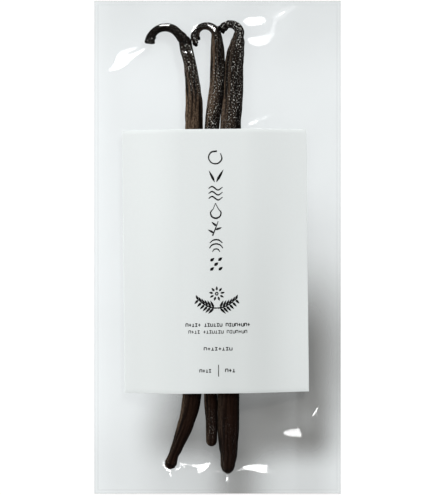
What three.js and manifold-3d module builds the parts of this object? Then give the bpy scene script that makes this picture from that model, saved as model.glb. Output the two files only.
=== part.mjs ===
// Flat clear bag holding three vanilla pods, with a paper label on its front.
//
// Millimetres. The bag lies on its back in the XY plane: X across it, Y along it towards the
// hooked stem ends of the pods, Z up out of its front. The origin is the middle of its underside.

import * as THREE from 'three';
import { mergeVertices } from 'three/addons/utils/BufferGeometryUtils.js';
import Module from 'manifold-3d';

// ---- Bag --------------------------------------------------------------------------------

const BAG_WIDTH = 100;
const BAG_LENGTH = 200;
const BAG_EDGE = 0.9; // thickness of the flat rim, where the two films meet
const BAG_PLATEAU = 3.8; // height to which the film stands round the bare pods
const BAG_COLUMNS = 25;
const BAG_ROWS = 40;

// ---- Bundle of pods, which holds the film up ----------------------------------------------

const BUNDLE_X = -2; // middle of the bundle, across the bag
const BUNDLE_HALF = 12.5; // the film is level this far to either side of it
const TENT_SLOPE = 30; // it then comes down to the rim over this distance
const TENT_REACH = 84; // it is level this far along the bag from its middle
const TENT_END = 14; // and comes down to the end seams over this distance

// ---- Pods ---------------------------------------------------------------------------------

const POD_BED = 0.8; // underside of the pods
const POD_SIDES = 12;
const POD_STEP = 5; // longest stretch between two rings
const RIB_DEPTH = 0.07; // depth of the lengthwise furrows, as a share of the radius
const FLATTEN = 0.0645; // a pod w wide is (1.2 - FLATTEN * w) * w thick: thick pods lie flatter
const TIP_LIFT = 1.0; // the ends of the hooked stems stand this much higher
const ARC_STEPS = 7; // stretches round one hooked stem
const CLEARANCE = 0.35; // between a pod and the hollow it lies in
const CUT_TOLERANCE = 0.01; // facets left by cutting the hollows are joined within this

// Each pod runs from its blunt end up to the neck by stations [x, y, width], and then round its
// stem, an arc from one angle to another, whose width goes from the neck over the bend to the tip.
// The tail is the torn end that hangs on after the arc.
const PODS = {
  pod_left: {
    colour: 0x3b2a21,
    stations: [
      [-19.3, -89.6, 2.8],
      [-19.2, -88.7, 4.5],
      [-18.7, -87.3, 4.8],
      [-17.6, -84.0, 4.1],
      [-16.1, -80.7, 4.9],
      [-12.4, -71.0, 6.6],
      [-10.5, -61.2, 7.6],
      [-9.6, -5.0, 7.6],
      [-9.4, 52.0, 7.0],
      [-10.0, 67.9, 5.4],
      [-11.1, 75.0, 4.7],
      [-12.4, 80.0, 5.0],
      [-13.2, 83.0, 4.8],
    ],
    stem: { centre: [-21.0, 83.0], radius: 6.5, from: 40, to: 176, neck: 3.6, bend: 3.1, tip: 4.3 },
    tail: [],
  },
  pod_middle: {
    colour: 0x35271f,
    stations: [
      [-2.4, -80.4, 2.4],
      [-2.4, -79.5, 3.8],
      [-2.4, -77.6, 4.4],
      [-2.5, -71.0, 4.8],
      [-2.7, -61.0, 5.4],
      [-2.5, 0.0, 5.6],
      [-2.1, 50.9, 5.9],
      [-1.2, 57.8, 5.6],
      [-0.5, 65.0, 5.4],
      [0.0, 73.5, 5.0],
      [0.1, 79.5, 5.1],
      [-0.3, 83.5, 4.6],
    ],
    stem: { centre: [-5.1, 85.4], radius: 4.4, from: 28, to: 172, neck: 3.6, bend: 2.8, tip: 3.2 },
    tail: [[-9.3, 84.2, 3.0], [-8.9, 82.3, 1.9]],
  },
  pod_right: {
    colour: 0x30231c,
    stations: [
      [4.3, -91.6, 2.8],
      [4.3, -90.9, 4.3],
      [4.2, -89.6, 5.6],
      [4.4, -87.4, 6.2],
      [4.6, -83.5, 7.0],
      [4.5, -80.7, 7.8],
      [4.6, -73.0, 8.6],
      [4.8, -61.0, 8.9],
      [5.2, 0.0, 8.8],
      [5.4, 50.9, 8.1],
      [6.3, 62.0, 7.8],
      [6.6, 72.8, 7.5],
      [7.2, 77.7, 6.8],
      [8.0, 82.5, 5.4],
      [8.6, 85.4, 4.3],
    ],
    stem: { centre: [5.2, 86.6], radius: 3.8, from: 12, to: 140, neck: 3.6, bend: 2.9, tip: 3.1 },
    tail: [[1.6, 88.4, 2.4]],
  },
};

// ---- Label --------------------------------------------------------------------------------

const LABEL_WIDTH = 74.5;
const LABEL_HEIGHT = 106;
const LABEL_CENTRE = [-0.8, -5.6];
const LABEL_TURN = 0.55; // degrees
const LABEL_THICK = 0.4;
const LABEL_BED = 7.4; // its underside where it crosses the pods
const LABEL_GAP = 0.4; // between it and the film that it is stuck to
const LABEL_RIM = 1; // the film keeps to the label this far beyond its sides
const LABEL_BLEND = 11; // and leaves it over this distance
const LABEL_OVERHANG = 8; // at its ends the label bridges the pods, free of the film
const LABEL_COLUMNS = 30;
const LABEL_ROWS = 8;
const CORNER_LIFT = 1.2; // its lower right corner stands up by this much
const LIFT_FROM = [14, -8]; // and the rise starts here, across and along

// ---- Forms --------------------------------------------------------------------------------

const wasm = await Module();
wasm.setup();

const { degToRad, lerp, smoothstep } = THREE.MathUtils;

/** 1 over the bundle of pods, falling to 0 where the film meets the rim at either side. */
function acrossTent(x) {
  return 1 - smoothstep(Math.abs(x - BUNDLE_X), BUNDLE_HALF, BUNDLE_HALF + TENT_SLOPE);
}

/** Height of the label's underside at a point. */
function labelUnderside(x, y) {
  const rim = BAG_EDGE + LABEL_GAP;
  const right = smoothstep(x, LIFT_FROM[0], LABEL_WIDTH / 2);
  const down = smoothstep(-y, -LIFT_FROM[1], LABEL_HEIGHT / 2);
  return rim + (LABEL_BED - rim) * acrossTent(x) + CORNER_LIFT * right * down;
}

/** 1 where the film is stuck to the label, falling to 0 where it is free of it. */
function underLabel(x, y) {
  const aside = Math.abs(x - LABEL_CENTRE[0]) - LABEL_WIDTH / 2;
  const beyond = Math.abs(y - LABEL_CENTRE[1]) - LABEL_HEIGHT / 2;
  return (1 - smoothstep(aside, LABEL_RIM, LABEL_RIM + LABEL_BLEND))
    * (1 - smoothstep(beyond, -LABEL_OVERHANG, 0));
}

/** Height of the bag's front at a point: a low tent over the pods, drawn up under the label. */
function bagTop(x, y) {
  const along = 1 - smoothstep(Math.abs(y), TENT_REACH, TENT_REACH + TENT_END);
  const tent = BAG_EDGE + (BAG_PLATEAU - BAG_EDGE) * acrossTent(x) * along;
  return lerp(tent, labelUnderside(x, y) - LABEL_GAP, underLabel(x, y));
}

/** A sheet of width by length, turned and moved to its place, between two height functions. */
function sheet(width, length, columns, rows, place, bottom, top) {
  const geometry = new THREE.BoxGeometry(width, length, 1, columns, rows, 1);
  geometry.applyMatrix4(place);
  const points = geometry.attributes.position;
  for (let i = 0; i < points.count; i += 1) {
    const [x, y] = [points.getX(i), points.getY(i)];
    points.setZ(i, points.getZ(i) > 0 ? top(x, y) : bottom(x, y));
  }
  return geometry;
}

/** Thickness of a pod where it is this wide. */
function thickness(width) {
  return (1.2 - FLATTEN * width) * width;
}

/** A pod's spine: the points of its middle line, and its width at each of them. */
function spineOf({ stations, stem, tail }) {
  const points = [];
  const widths = [];
  const add = (x, y, width, lift) => {
    points.push(new THREE.Vector3(x, y, POD_BED + thickness(width) / 2 + lift));
    widths.push(width);
  };
  for (const station of stations) add(...station, 0);
  for (let i = 0; i <= ARC_STEPS; i += 1) {
    const share = i / ARC_STEPS;
    const angle = degToRad(lerp(stem.from, stem.to, share));
    add(
      stem.centre[0] + stem.radius * Math.cos(angle),
      stem.centre[1] + stem.radius * Math.sin(angle),
      share < 0.5 ? lerp(stem.neck, stem.bend, share * 2) : lerp(stem.bend, stem.tip, share * 2 - 1),
      TIP_LIFT * share,
    );
  }
  for (const station of tail) add(...station, TIP_LIFT);
  return { points, widths };
}

/** Rings along a spine: a centre, the direction of the spine and the width at each. */
function ringsOf({ points, widths }, grow) {
  const curve = new THREE.CatmullRomCurve3(points, false, 'centripetal');
  const spans = points.length - 1;
  const rings = [];
  for (let span = 0; span < spans; span += 1) {
    const steps = Math.ceil(points[span].distanceTo(points[span + 1]) / POD_STEP);
    for (let step = span === 0 ? 0 : 1; step <= steps; step += 1) {
      const share = step / steps;
      const at = (span + share) / spans;
      rings.push({
        centre: curve.getPoint(at),
        along: curve.getTangent(at),
        width: lerp(widths[span], widths[span + 1], smoothstep(share, 0, 1)) + 2 * grow,
      });
    }
  }
  rings[0].centre.addScaledVector(rings[0].along, -grow);
  rings.at(-1).centre.addScaledVector(rings.at(-1).along, grow);
  return rings;
}

/** A pod, or with a grow above 0 the smooth hollow that clears it by that much all round. */
function podGeometry(pod, grow) {
  const rings = ringsOf(spineOf(pod), grow);
  const geometry = new THREE.CylinderGeometry(1, 1, 1, POD_SIDES, rings.length - 1);
  const points = geometry.attributes.position;
  const up = new THREE.Vector3(0, 0, 1);
  for (let i = 0; i < points.count; i += 1) {
    const { centre, along, width } = rings[Math.round((points.getY(i) + 0.5) * (rings.length - 1))];
    const side = new THREE.Vector3().crossVectors(along, up).normalize();
    const high = thickness(width - 2 * grow) + 2 * grow;
    const turn = Math.round(Math.atan2(points.getZ(i), points.getX(i)) / (2 * Math.PI / POD_SIDES));
    const rib = grow > 0 || turn % 2 === 0 ? 1 : 1 - RIB_DEPTH;
    const place = centre.clone()
      .addScaledVector(side, points.getX(i) * rib * width / 2)
      .addScaledVector(up, points.getZ(i) * rib * high / 2);
    points.setXYZ(i, place.x, place.y, place.z);
  }
  return geometry;
}

/** A closed geometry as a solid that can be cut. */
function solidOf(geometry) {
  const plain = geometry.clone();
  plain.deleteAttribute('normal');
  plain.deleteAttribute('uv');
  const merged = mergeVertices(plain, 1e-4);
  return new wasm.Manifold(new wasm.Mesh({
    numProp: 3,
    vertProperties: new Float32Array(merged.attributes.position.array),
    triVerts: new Uint32Array(merged.index.array),
  }));
}

/** A solid back as a geometry. */
function geometryOf(solid) {
  const { vertProperties, triVerts } = solid.getMesh();
  const geometry = new THREE.BufferGeometry();
  geometry.setAttribute('position', new THREE.BufferAttribute(vertProperties, 3));
  geometry.setIndex(new THREE.BufferAttribute(triVerts, 1));
  geometry.computeVertexNormals();
  return geometry;
}

/** The bag's outer form, with a hollow open to the front for each pod. */
function bagGeometry() {
  const whole = sheet(
    BAG_WIDTH, BAG_LENGTH, BAG_COLUMNS, BAG_ROWS, new THREE.Matrix4(), () => 0, bagTop,
  );
  let solid = solidOf(whole);
  for (const pod of Object.values(PODS)) {
    solid = solid.subtract(solidOf(podGeometry(pod, CLEARANCE)));
  }
  // Where two hollows nearly meet, slivers come loose between them: only the bag itself is kept.
  const [bag] = solid.decompose().sort((a, b) => b.volume() - a.volume());
  return geometryOf(bag.simplify(CUT_TOLERANCE));
}

/** The label: one sheet of paper that arches over the pods. */
function labelGeometry() {
  const place = new THREE.Matrix4()
    .makeTranslation(LABEL_CENTRE[0], LABEL_CENTRE[1], 0)
    .multiply(new THREE.Matrix4().makeRotationZ(degToRad(LABEL_TURN)));
  return sheet(
    LABEL_WIDTH, LABEL_HEIGHT, LABEL_COLUMNS, LABEL_ROWS, place,
    labelUnderside, (x, y) => labelUnderside(x, y) + LABEL_THICK,
  );
}

// ---- Scene graph --------------------------------------------------------------------------

/** A named mesh with its material. */
function piece(name, geometry, finish) {
  const mesh = new THREE.Mesh(geometry, new THREE.MeshStandardMaterial(finish));
  mesh.name = name;
  return mesh;
}

const group = new THREE.Group();

const FILM = { color: 0xe4eaeb, roughness: 0.12, metalness: 0, transparent: true, opacity: 0.45 };
group.add(piece('bag', bagGeometry(), FILM));

for (const [name, pod] of Object.entries(PODS)) {
  group.add(piece(name, podGeometry(pod, 0), { color: pod.colour, roughness: 0.42, metalness: 0 }));
}

group.add(piece('label', labelGeometry(), { color: 0xf1f2f0, roughness: 0.7, metalness: 0 }));

export default group;
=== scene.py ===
"""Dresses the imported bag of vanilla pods: clear film, three pods, a paper label and its print.

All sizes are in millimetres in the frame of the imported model, X across the bag, Y along it
towards the hooked stems and Z up out of its front, and each mesh is scaled to metres at the end.
"""

import logging
import math
from collections.abc import Sequence
from dataclasses import dataclass, field
from enum import Enum

import bmesh
import bpy
import numpy as np
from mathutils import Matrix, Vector, noise

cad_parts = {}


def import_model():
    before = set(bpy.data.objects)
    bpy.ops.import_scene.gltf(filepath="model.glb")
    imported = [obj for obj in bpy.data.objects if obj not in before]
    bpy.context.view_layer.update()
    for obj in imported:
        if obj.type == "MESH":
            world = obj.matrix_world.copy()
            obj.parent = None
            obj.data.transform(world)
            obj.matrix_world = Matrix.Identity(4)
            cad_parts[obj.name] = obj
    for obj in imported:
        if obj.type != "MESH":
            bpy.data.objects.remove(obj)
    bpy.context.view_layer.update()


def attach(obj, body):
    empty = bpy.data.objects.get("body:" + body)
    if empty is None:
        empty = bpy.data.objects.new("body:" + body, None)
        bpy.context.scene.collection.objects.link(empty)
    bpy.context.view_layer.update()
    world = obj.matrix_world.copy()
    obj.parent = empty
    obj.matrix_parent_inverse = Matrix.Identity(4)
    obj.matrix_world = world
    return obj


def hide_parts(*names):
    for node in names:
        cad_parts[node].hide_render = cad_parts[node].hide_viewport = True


LOG = logging.getLogger("vanilla_pack")
MM = 0.001
NOISE_SEED = 2  # without it, noise_vector takes its offsets from the clock

Point = tuple[float, float]
Triple = tuple[float, float, float]
Ramp = tuple[float, float, float, float]
Across = tuple[float, float, float, float, float]


# ---- Small helpers --------------------------------------------------------------------------


def smooth(value: float, low: float, high: float) -> float:
    """A smooth step from 0 at low to 1 at high, for numbers and for arrays."""
    share = np.clip((value - low) / (high - low), 0.0, 1.0)
    return share * share * (3.0 - 2.0 * share)


def mix(first: float, second: float, share: float) -> float:
    """The value a share of the way from first to second."""
    return first + (second - first) * share


def finish_mesh(
    bm: bmesh.types.BMesh,
    name: str,
    material: bpy.types.Material,
    nodes: Sequence[str] = (),
) -> bpy.types.Object:
    """Turns a bmesh in millimetres into a dressed piece that rides on the part.

    Args:
        bm: The mesh, which is freed.
        name: The piece's name.
        material: Its finish.
        nodes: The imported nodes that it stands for.

    Returns:
        The new object.
    """
    bmesh.ops.scale(bm, vec=(MM, MM, MM), verts=bm.verts)
    mesh = bpy.data.meshes.new(name)
    bm.to_mesh(mesh)
    bm.free()
    mesh.shade_smooth()
    mesh.materials.append(material)
    piece = bpy.data.objects.new(name, mesh)
    bpy.context.scene.collection.objects.link(piece)
    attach(piece, "root")
    if nodes:
        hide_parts(*nodes)
    LOG.info("%s: %d faces", name, len(mesh.polygons))
    return piece


# ---- Shader graph ---------------------------------------------------------------------------


class Value:
    """A shader socket that takes part in Python arithmetic."""

    def __init__(self, graph: "Graph", socket: bpy.types.NodeSocket) -> None:
        """Keeps the socket and the graph that new nodes go into."""
        self.graph = graph
        self.socket = socket

    def maths(self, operation: str, *terms: "Value | float") -> "Value":
        """Adds a Math node on these terms and returns its output."""
        return self.graph.node("ShaderNodeMath", {"operation": operation}, dict(enumerate(terms)))

    def __add__(self, other: "Value | float") -> "Value":
        """Sum."""
        return self.maths("ADD", self, other)

    __radd__ = __add__

    def __mul__(self, other: "Value | float") -> "Value":
        """Product."""
        return self.maths("MULTIPLY", self, other)

    __rmul__ = __mul__

    def __sub__(self, other: "Value | float") -> "Value":
        """Difference."""
        return self.maths("SUBTRACT", self, other)

    def __rsub__(self, other: "Value | float") -> "Value":
        """Difference the other way round."""
        return self.maths("SUBTRACT", other, self)

    def ramp(self, low: float, high: float, first: float = 0.0, last: float = 1.0) -> "Value":
        """A smooth step from first at low to last at high."""
        return self.graph.node(
            "ShaderNodeMapRange",
            {"interpolation_type": "SMOOTHSTEP"},
            {"Value": self, "From Min": low, "From Max": high, "To Min": first, "To Max": last},
        )


@dataclass(frozen=True)
class Texture:
    """A soft noise from 0 to 1.

    Attributes:
        scale: How its map is scaled first, on each axis.
        cells: The number of its cells for each unit of the scaled map.
        detail: The number of finer layers in it.
    """

    scale: Triple
    cells: float
    detail: float


class Graph:
    """The node tree of a new material or of the surroundings."""

    def __init__(self, owner: bpy.types.Material | bpy.types.World) -> None:
        """Clears the owner's node tree."""
        owner.use_nodes = True
        self.owner = owner
        self.tree = owner.node_tree
        self.tree.nodes.clear()

    @classmethod
    def material(cls, name: str) -> "Graph":
        """The graph of a new material."""
        return cls(bpy.data.materials.new(name))

    def node(
        self,
        kind: str,
        settings: dict | None = None,
        inputs: dict | None = None,
        output: str | int = 0,
    ) -> Value:
        """Adds a node.

        Args:
            kind: The node's type.
            settings: Its properties, which are set first.
            inputs: A value or a link for each socket named or numbered.
            output: The output that is wanted.

        Returns:
            That output.
        """
        node = self.tree.nodes.new(kind)
        for key, setting in (settings or {}).items():
            setattr(node, key, setting)
        for key, value in (inputs or {}).items():
            socket = node.inputs[key]
            if isinstance(value, Value):
                self.tree.links.new(value.socket, socket)
            else:
                socket.default_value = value
        return Value(self, node.outputs[output])

    def blend(self, share: Value | float, first: Triple | Value, second: Triple | Value) -> Value:
        """A colour the share of the way from first to second."""
        wide = [c if isinstance(c, Value) else (*c, 1.0) for c in (first, second)]
        inputs = {0: share, 6: wide[0], 7: wide[1]}
        return self.node("ShaderNodeMix", {"data_type": "RGBA"}, inputs, output=2)

    def noise(self, where: Value, cells: float, detail: float) -> Value:
        """Soft noise from 0 to 1 at a number of cells for each unit of where."""
        inputs = {"Vector": where, "Scale": cells, "Detail": detail}
        return self.node("ShaderNodeTexNoise", None, inputs)

    def texture(self, where: Value, kind: Texture) -> Value:
        """A texture on a map."""
        scaled = self.node("ShaderNodeMapping", None, {"Vector": where, "Scale": kind.scale})
        return self.noise(scaled, kind.cells, kind.detail)

    def place(self) -> Value:
        """The point of the surface, in metres."""
        return self.node("ShaderNodeTexCoord", output="Object")

    def skin(self) -> Value:
        """The piece's own map: along and around it, in millimetres."""
        return self.node("ShaderNodeUVMap", {"uv_map": "skin"})

    def attribute(self, name: str) -> Value:
        """A number that the mesh keeps at each vertex."""
        return self.node("ShaderNodeAttribute", {"attribute_name": name}, output="Fac")

    def bump(self, height: Value, strength: float, distance: float) -> Value:
        """The normal of a relief that stands out by a distance in millimetres."""
        inputs = {"Strength": strength, "Distance": distance * MM, "Height": height}
        return self.node("ShaderNodeBump", None, inputs)

    def principled(self, inputs: dict) -> Value:
        """A Principled shader with these inputs."""
        return self.node("ShaderNodeBsdfPrincipled", None, inputs)

    def mix_shader(self, share: Value, first: Value, second: Value) -> Value:
        """The shader a share of the way from first to second."""
        return self.node("ShaderNodeMixShader", None, {0: share, 1: first, 2: second})

    def surface(self, shader: Value) -> bpy.types.Material | bpy.types.World:
        """Ends the tree.

        Args:
            shader: The shader that it ends with.

        Returns:
            The tree's owner.
        """
        kind = "World" if isinstance(self.owner, bpy.types.World) else "Material"
        output = self.tree.nodes.new("ShaderNodeOutput" + kind)
        self.tree.links.new(shader.socket, output.inputs["Surface"])
        return self.owner


# ---- Finishes -------------------------------------------------------------------------------


@dataclass(frozen=True)
class PodSkin:
    """Cured pod: nearly black, with brown streaks, an oily sheen and pale specks of painted sparkle.

    The pale specks stand for glints of the wrinkled skin, with a real oily coat on them. The brown
    is laid heaviest on the left side and the red on the top, where the light falls, so both are
    partly painted light, and the ring grooves are darkened as painted shade. A ramp holds the two
    values of a texture between which an amount changes, and the amount at each. The skin's map is
    in millimetres, and so is the height of the wrinkles.
    """

    name: str
    dark: Triple = (0.0022, 0.0017, 0.0014)
    brown: Triple = (0.150, 0.099, 0.066)
    red: Triple = (0.0122, 0.0048, 0.0030)
    sparkle_colour: Triple = (0.78, 0.75, 0.69)
    streak: Texture = Texture((0.06, 1.0, 1.0), 1.0, 4.0)
    mottle: Texture = Texture((0.5, 1.0, 1.0), 1.9, 2.0)
    grain: Texture = Texture((0.85, 1.1, 1.0), 1.85, 1.0)
    rows: Texture = Texture((0.25, 1.0, 1.0), 0.7, 2.0)
    patches: Texture = Texture((0.4, 1.0, 1.0), 0.22, 1.0)
    wrinkles: Texture = Texture((0.45, 1.0, 1.0), 2.2, 5.0)
    red_streaks: Ramp = (0.3, 0.64, 0.3, 1.0)
    brown_streaks: Ramp = (0.40, 0.60, 0.05, 1.15)
    brown_mottle: Ramp = (0.34, 0.66, 0.45, 1.4)
    faint_sparkle: Ramp = (0.52, 0.60, 0.0, 0.16)
    bright_sparkle: Ramp = (0.60, 0.68, 0.0, 0.84)
    row_sparkle: Ramp = (0.38, 0.54, 0.25, 1.0)
    patch_sparkle: Ramp = (0.38, 0.54, 0.5, 1.0)
    stem_brown_lost: float = 0.85
    wrinkle_height: float = 0.2
    wrinkle_strength: float = 0.8
    roughness: float = 0.45
    specular: float = 0.025
    oil_roughness: float = 0.18

    def material(self) -> bpy.types.Material:
        """The pod's material."""
        graph = Graph.material(self.name)
        skin = graph.skin()
        streak = graph.texture(skin, self.streak)
        # Partly painted light: the red is laid on the pod's top, where the light falls.
        crown = graph.attribute("crown") * streak.ramp(*self.red_streaks)
        colour = graph.blend(crown, self.dark, self.red)
        mottle = graph.texture(skin, self.mottle)
        # Partly painted light: the brown is heaviest on the left side, where the light falls.
        flank = graph.attribute("flank") * (1.0 - self.stem_brown_lost * graph.attribute("stem"))
        flank = flank * streak.ramp(*self.brown_streaks) * mottle.ramp(*self.brown_mottle)
        colour = graph.blend(flank, colour, self.brown)
        # Painted shade: the ring grooves are darkened in colour as well as cut in.
        colour = graph.blend(graph.attribute("groove"), colour, self.dark)
        # Painted highlights: pale specks that stand for glints; the coat on them is real gloss.
        grain = graph.texture(skin, self.grain)
        points = grain.ramp(*self.faint_sparkle) + grain.ramp(*self.bright_sparkle)
        rows = graph.texture(skin, self.rows).ramp(*self.row_sparkle)
        patches = graph.texture(skin, self.patches).ramp(*self.patch_sparkle)
        pale = graph.attribute("painted_sparkle") * points * rows * patches
        colour = graph.blend(pale, colour, self.sparkle_colour)
        height = graph.texture(skin, self.wrinkles)
        shader = graph.principled(
            {
                "Base Color": colour,
                "Roughness": self.roughness,
                "Specular IOR Level": self.specular,
                "Coat Weight": pale,
                "Coat Roughness": self.oil_roughness,
                "Normal": graph.bump(height, self.wrinkle_strength, self.wrinkle_height),
            }
        )
        return graph.surface(shader)


@dataclass(frozen=True)
class Film:
    """Clear packing film: a faint cool tint, a hard gloss, painted glints, weld lines and painted shade.
    """

    name: str
    has_painted_glints: bool
    tint: Triple = (0.935, 0.951, 0.955)
    gloss: float = 0.002
    grazing_power: float = 5.0
    gleam: float = 0.032
    roughness: float = 0.09
    crinkle_cells: float = 900.0
    crinkle_depth: float = 0.16
    glint_outline: Point = (0.3, 0.62)
    shade: Triple = (0.156, 0.147, 0.135)
    shade_roughness: float = 0.6

    def material(self) -> bpy.types.Material:
        """The film's material."""
        graph = Graph.material(self.name)
        silver = {
            "Base Color": (1.0, 1.0, 1.0, 1.0),
            "Metallic": 1.0,
            "Roughness": self.roughness,
        }
        clear = graph.node("ShaderNodeBsdfTransparent", None, {"Color": (*self.tint, 1.0)})
        edge_on = graph.node("ShaderNodeLayerWeight", None, {"Blend": 0.5}, "Facing")
        shine = self.gloss + (1.0 - self.gloss) * edge_on.maths("POWER", edge_on, self.grazing_power)
        film = graph.mix_shader(shine, clear, graph.principled(silver))
        # Painted highlights: in each glint a mirror with its normal aimed between eye and key light.
        if self.has_painted_glints:
            facing = graph.node("ShaderNodeAttribute", {"attribute_name": "facing"}, output="Vector")
            tilted = graph.node("ShaderNodeVectorMath", {"operation": "NORMALIZE"}, {0: facing})
            # Noise that roughens the outline of the painted glints.
            crinkle = graph.noise(graph.place(), self.crinkle_cells, 2.0)
            glint = graph.attribute("glint") + self.crinkle_depth * (crinkle - 0.5)
            shape = glint.ramp(*self.glint_outline)
            lit = shape * shape * graph.attribute("strength") * self.gleam
            film = graph.mix_shader(lit, film, graph.principled({**silver, "Normal": tilted}))
        # Painted shade and the grey weld lines, mixed in as a dark grey.
        welds_and_painted_shade = graph.principled(
            {"Base Color": (*self.shade, 1.0), "Roughness": self.shade_roughness}
        )
        return graph.surface(graph.mix_shader(graph.attribute("shade"), film, welds_and_painted_shade))


@dataclass(frozen=True)
class Paper:
    """Smooth uncoated card with a very faint grain, and painted shade where its colour is dimmed."""

    name: str
    white: Triple = (0.752, 0.786, 0.781)
    fibre: Triple = (0.745, 0.779, 0.774)
    # The card's colour where it has painted shade.
    dim: Triple = (0.672, 0.703, 0.695)
    fibre_cells: float = 900.0
    fibre_ramp: Point = (0.35, 0.65)
    tooth_cells: float = 2600.0
    tooth_strength: float = 0.12
    tooth_height: float = 0.02
    roughness: float = 0.62

    def material(self) -> bpy.types.Material:
        """The card's material."""
        graph = Graph.material(self.name)
        place = graph.place()
        fibres = graph.noise(place, self.fibre_cells, 4.0).ramp(*self.fibre_ramp)
        card = graph.blend(fibres, self.white, self.fibre)
        tooth = graph.noise(place, self.tooth_cells, 3.0)
        shader = graph.principled(
            {
                "Base Color": graph.blend(graph.attribute("dim"), card, self.dim),
                "Roughness": self.roughness,
                "Normal": graph.bump(tooth, self.tooth_strength, self.tooth_height),
            }
        )
        return graph.surface(shader)


@dataclass(frozen=True)
class Ink:
    """Printing ink, a little uneven where the paper takes less of it."""

    name: str
    full: Triple = (0.003, 0.003, 0.0035)
    thin: Triple = (0.012, 0.012, 0.0125)
    patch_cells: float = 1800.0
    patch_ramp: Point = (0.5, 0.7)
    roughness: float = 0.55
    specular: float = 0.15

    def material(self) -> bpy.types.Material:
        """The ink's material."""
        graph = Graph.material(self.name)
        patch = graph.noise(graph.place(), self.patch_cells, 3.0).ramp(*self.patch_ramp)
        shader = graph.principled(
            {
                "Base Color": graph.blend(patch, self.full, self.thin),
                "Roughness": self.roughness,
                "Specular IOR Level": self.specular,
            }
        )
        return graph.surface(shader)


# ---- Soft areas -----------------------------------------------------------------------------


@dataclass(frozen=True)
class Fade:
    """An area with soft edges, on a sheet.

    Attributes:
        depth: The amount where it is full.
        x: The X where it starts and where it is full, if it has such an edge.
        y: The same for Y.
        end: The X where it has ended again, and the X where it is still full.
    """

    depth: float
    x: Point | None = None
    y: Point | None = None
    end: Point | None = None

    def at(self, x: float, y: float) -> float:
        """The amount at a point."""
        edges = ((x, self.x), (y, self.y), (x, self.end))
        return self.depth * math.prod(float(smooth(at, *edge)) for at, edge in edges if edge)


@dataclass(frozen=True)
class Spot:
    """A soft round area, fullest at its middle.

    Attributes:
        depth: The amount at its middle.
        centre: Its middle.
        size: Its reach over X and over Y.
    """

    depth: float
    centre: Point
    size: Point

    def at(self, x: float, y: float) -> float:
        """The amount at a point."""
        across, along = (x - self.centre[0]) / self.size[0], (y - self.centre[1]) / self.size[1]
        return self.depth * math.exp(-(across**2) - along**2)


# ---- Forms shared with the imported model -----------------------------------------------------


@dataclass(frozen=True)
class Label:
    """The card: its size, its place and the way it arches over the pods.

    Attributes:
        width: Its size across the bag.
        height: Its size along the bag.
        centre: Its middle.
        turn: Its turn in the bag's plane.
        rim: Height of its underside beside the pods.
        bed: Height of its underside over the pods.
        corner_lift: How far its lower right corner stands up more.
        lift_from: The X and Y from which it does.
        bundle_x: The middle of the pods.
        bundle_half: Half the width over which it lies level on them.
        slope: The width over which it comes down beside them.
    """

    width: float = 74.5
    height: float = 106.0
    centre: Point = (-0.8, -5.6)
    turn: float = math.radians(0.55)
    rim: float = 1.3
    bed: float = 7.4
    corner_lift: float = 1.2
    lift_from: Point = (14.0, -8.0)
    bundle_x: float = -2.0
    bundle_half: float = 12.5
    slope: float = 30.0

    def underside(self, x: float, y: float) -> float:
        """Height of its underside, for numbers and for arrays.

        Args:
            x: Place across the bag.
            y: Place along the bag.

        Returns:
            The height there.
        """
        across = 1.0 - smooth(abs(x - self.bundle_x), self.bundle_half, self.bundle_half + self.slope)
        right = smooth(x, self.lift_from[0], self.width / 2)
        down = smooth(-y, -self.lift_from[1], self.height / 2)
        return self.rim + (self.bed - self.rim) * across + self.corner_lift * right * down

    def place(self, u: float, v: float) -> Point:
        """The point of the bag under a point of the card, given from the card's middle."""
        cos, sin = math.cos(self.turn), math.sin(self.turn)
        return (self.centre[0] + u * cos - v * sin, self.centre[1] + u * sin + v * cos)


@dataclass(frozen=True)
class Stem:
    """The hooked stem of a pod, an arc.

    Attributes:
        centre: The arc's middle.
        radius: Its radius.
        start: The angle at which it leaves the pod, in degrees.
        end: The angle at which it ends.
        neck: The stem's width at the pod.
        bend: Its width over the bend.
        tip: Its width at the end.
    """

    centre: Point
    radius: float
    start: float
    end: float
    neck: float
    bend: float
    tip: float


@dataclass(frozen=True)
class Spine:
    """A pod's middle line, sampled closely.

    Attributes:
        points: The points, an array of n by 3.
        widths: The pod's width at each.
        along: The distance from the blunt end at each.
    """

    points: np.ndarray
    widths: np.ndarray
    along: np.ndarray

    def along_at(self, y: float) -> float:
        """How far from the blunt end the line first comes to a Y."""
        return float(self.along[int(np.argmax(self.points[:, 1] >= y))])


@dataclass(frozen=True)
class Crumb:
    """A scrap of torn skin at the end of a stem.

    Attributes:
        centre: Its middle.
        size: Its radius.
        lumps: The cells of its lumps and their height, for each unit of its radius.
        grit: The same for its finer grain.
        flat: Its height against its width.
    """

    centre: Triple
    size: float
    lumps: Point = (1.7, 0.45)
    grit: Point = (5.0, 0.16)
    flat: float = 0.8

    def add(self, bm: bmesh.types.BMesh, seed: float) -> None:
        """Adds the scrap, a rough lump.

        Args:
            bm: The pod's mesh.
            seed: The pod's seed.
        """
        x, y, _ = self.centre
        made = bmesh.ops.create_icosphere(bm, subdivisions=4, radius=self.size)["verts"]
        for vert in made:
            way = vert.co.normalized()
            lump = noise.noise(way * self.lumps[0] + Vector((seed, x, y)))
            grit = noise.noise(way * self.grit[0] + Vector((y, seed, x)))
            vert.co = way * self.size * (1.0 + self.lumps[1] * lump + self.grit[1] * grit)
            vert.co.z *= self.flat
        bmesh.ops.translate(bm, vec=self.centre, verts=made)


class Tip(Enum):
    """How the end of a stem looks: how far back it is torn, and how deeply."""

    FLARED = (1.6, 0.25)
    RAGGED = (4.5, 0.9)


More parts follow.
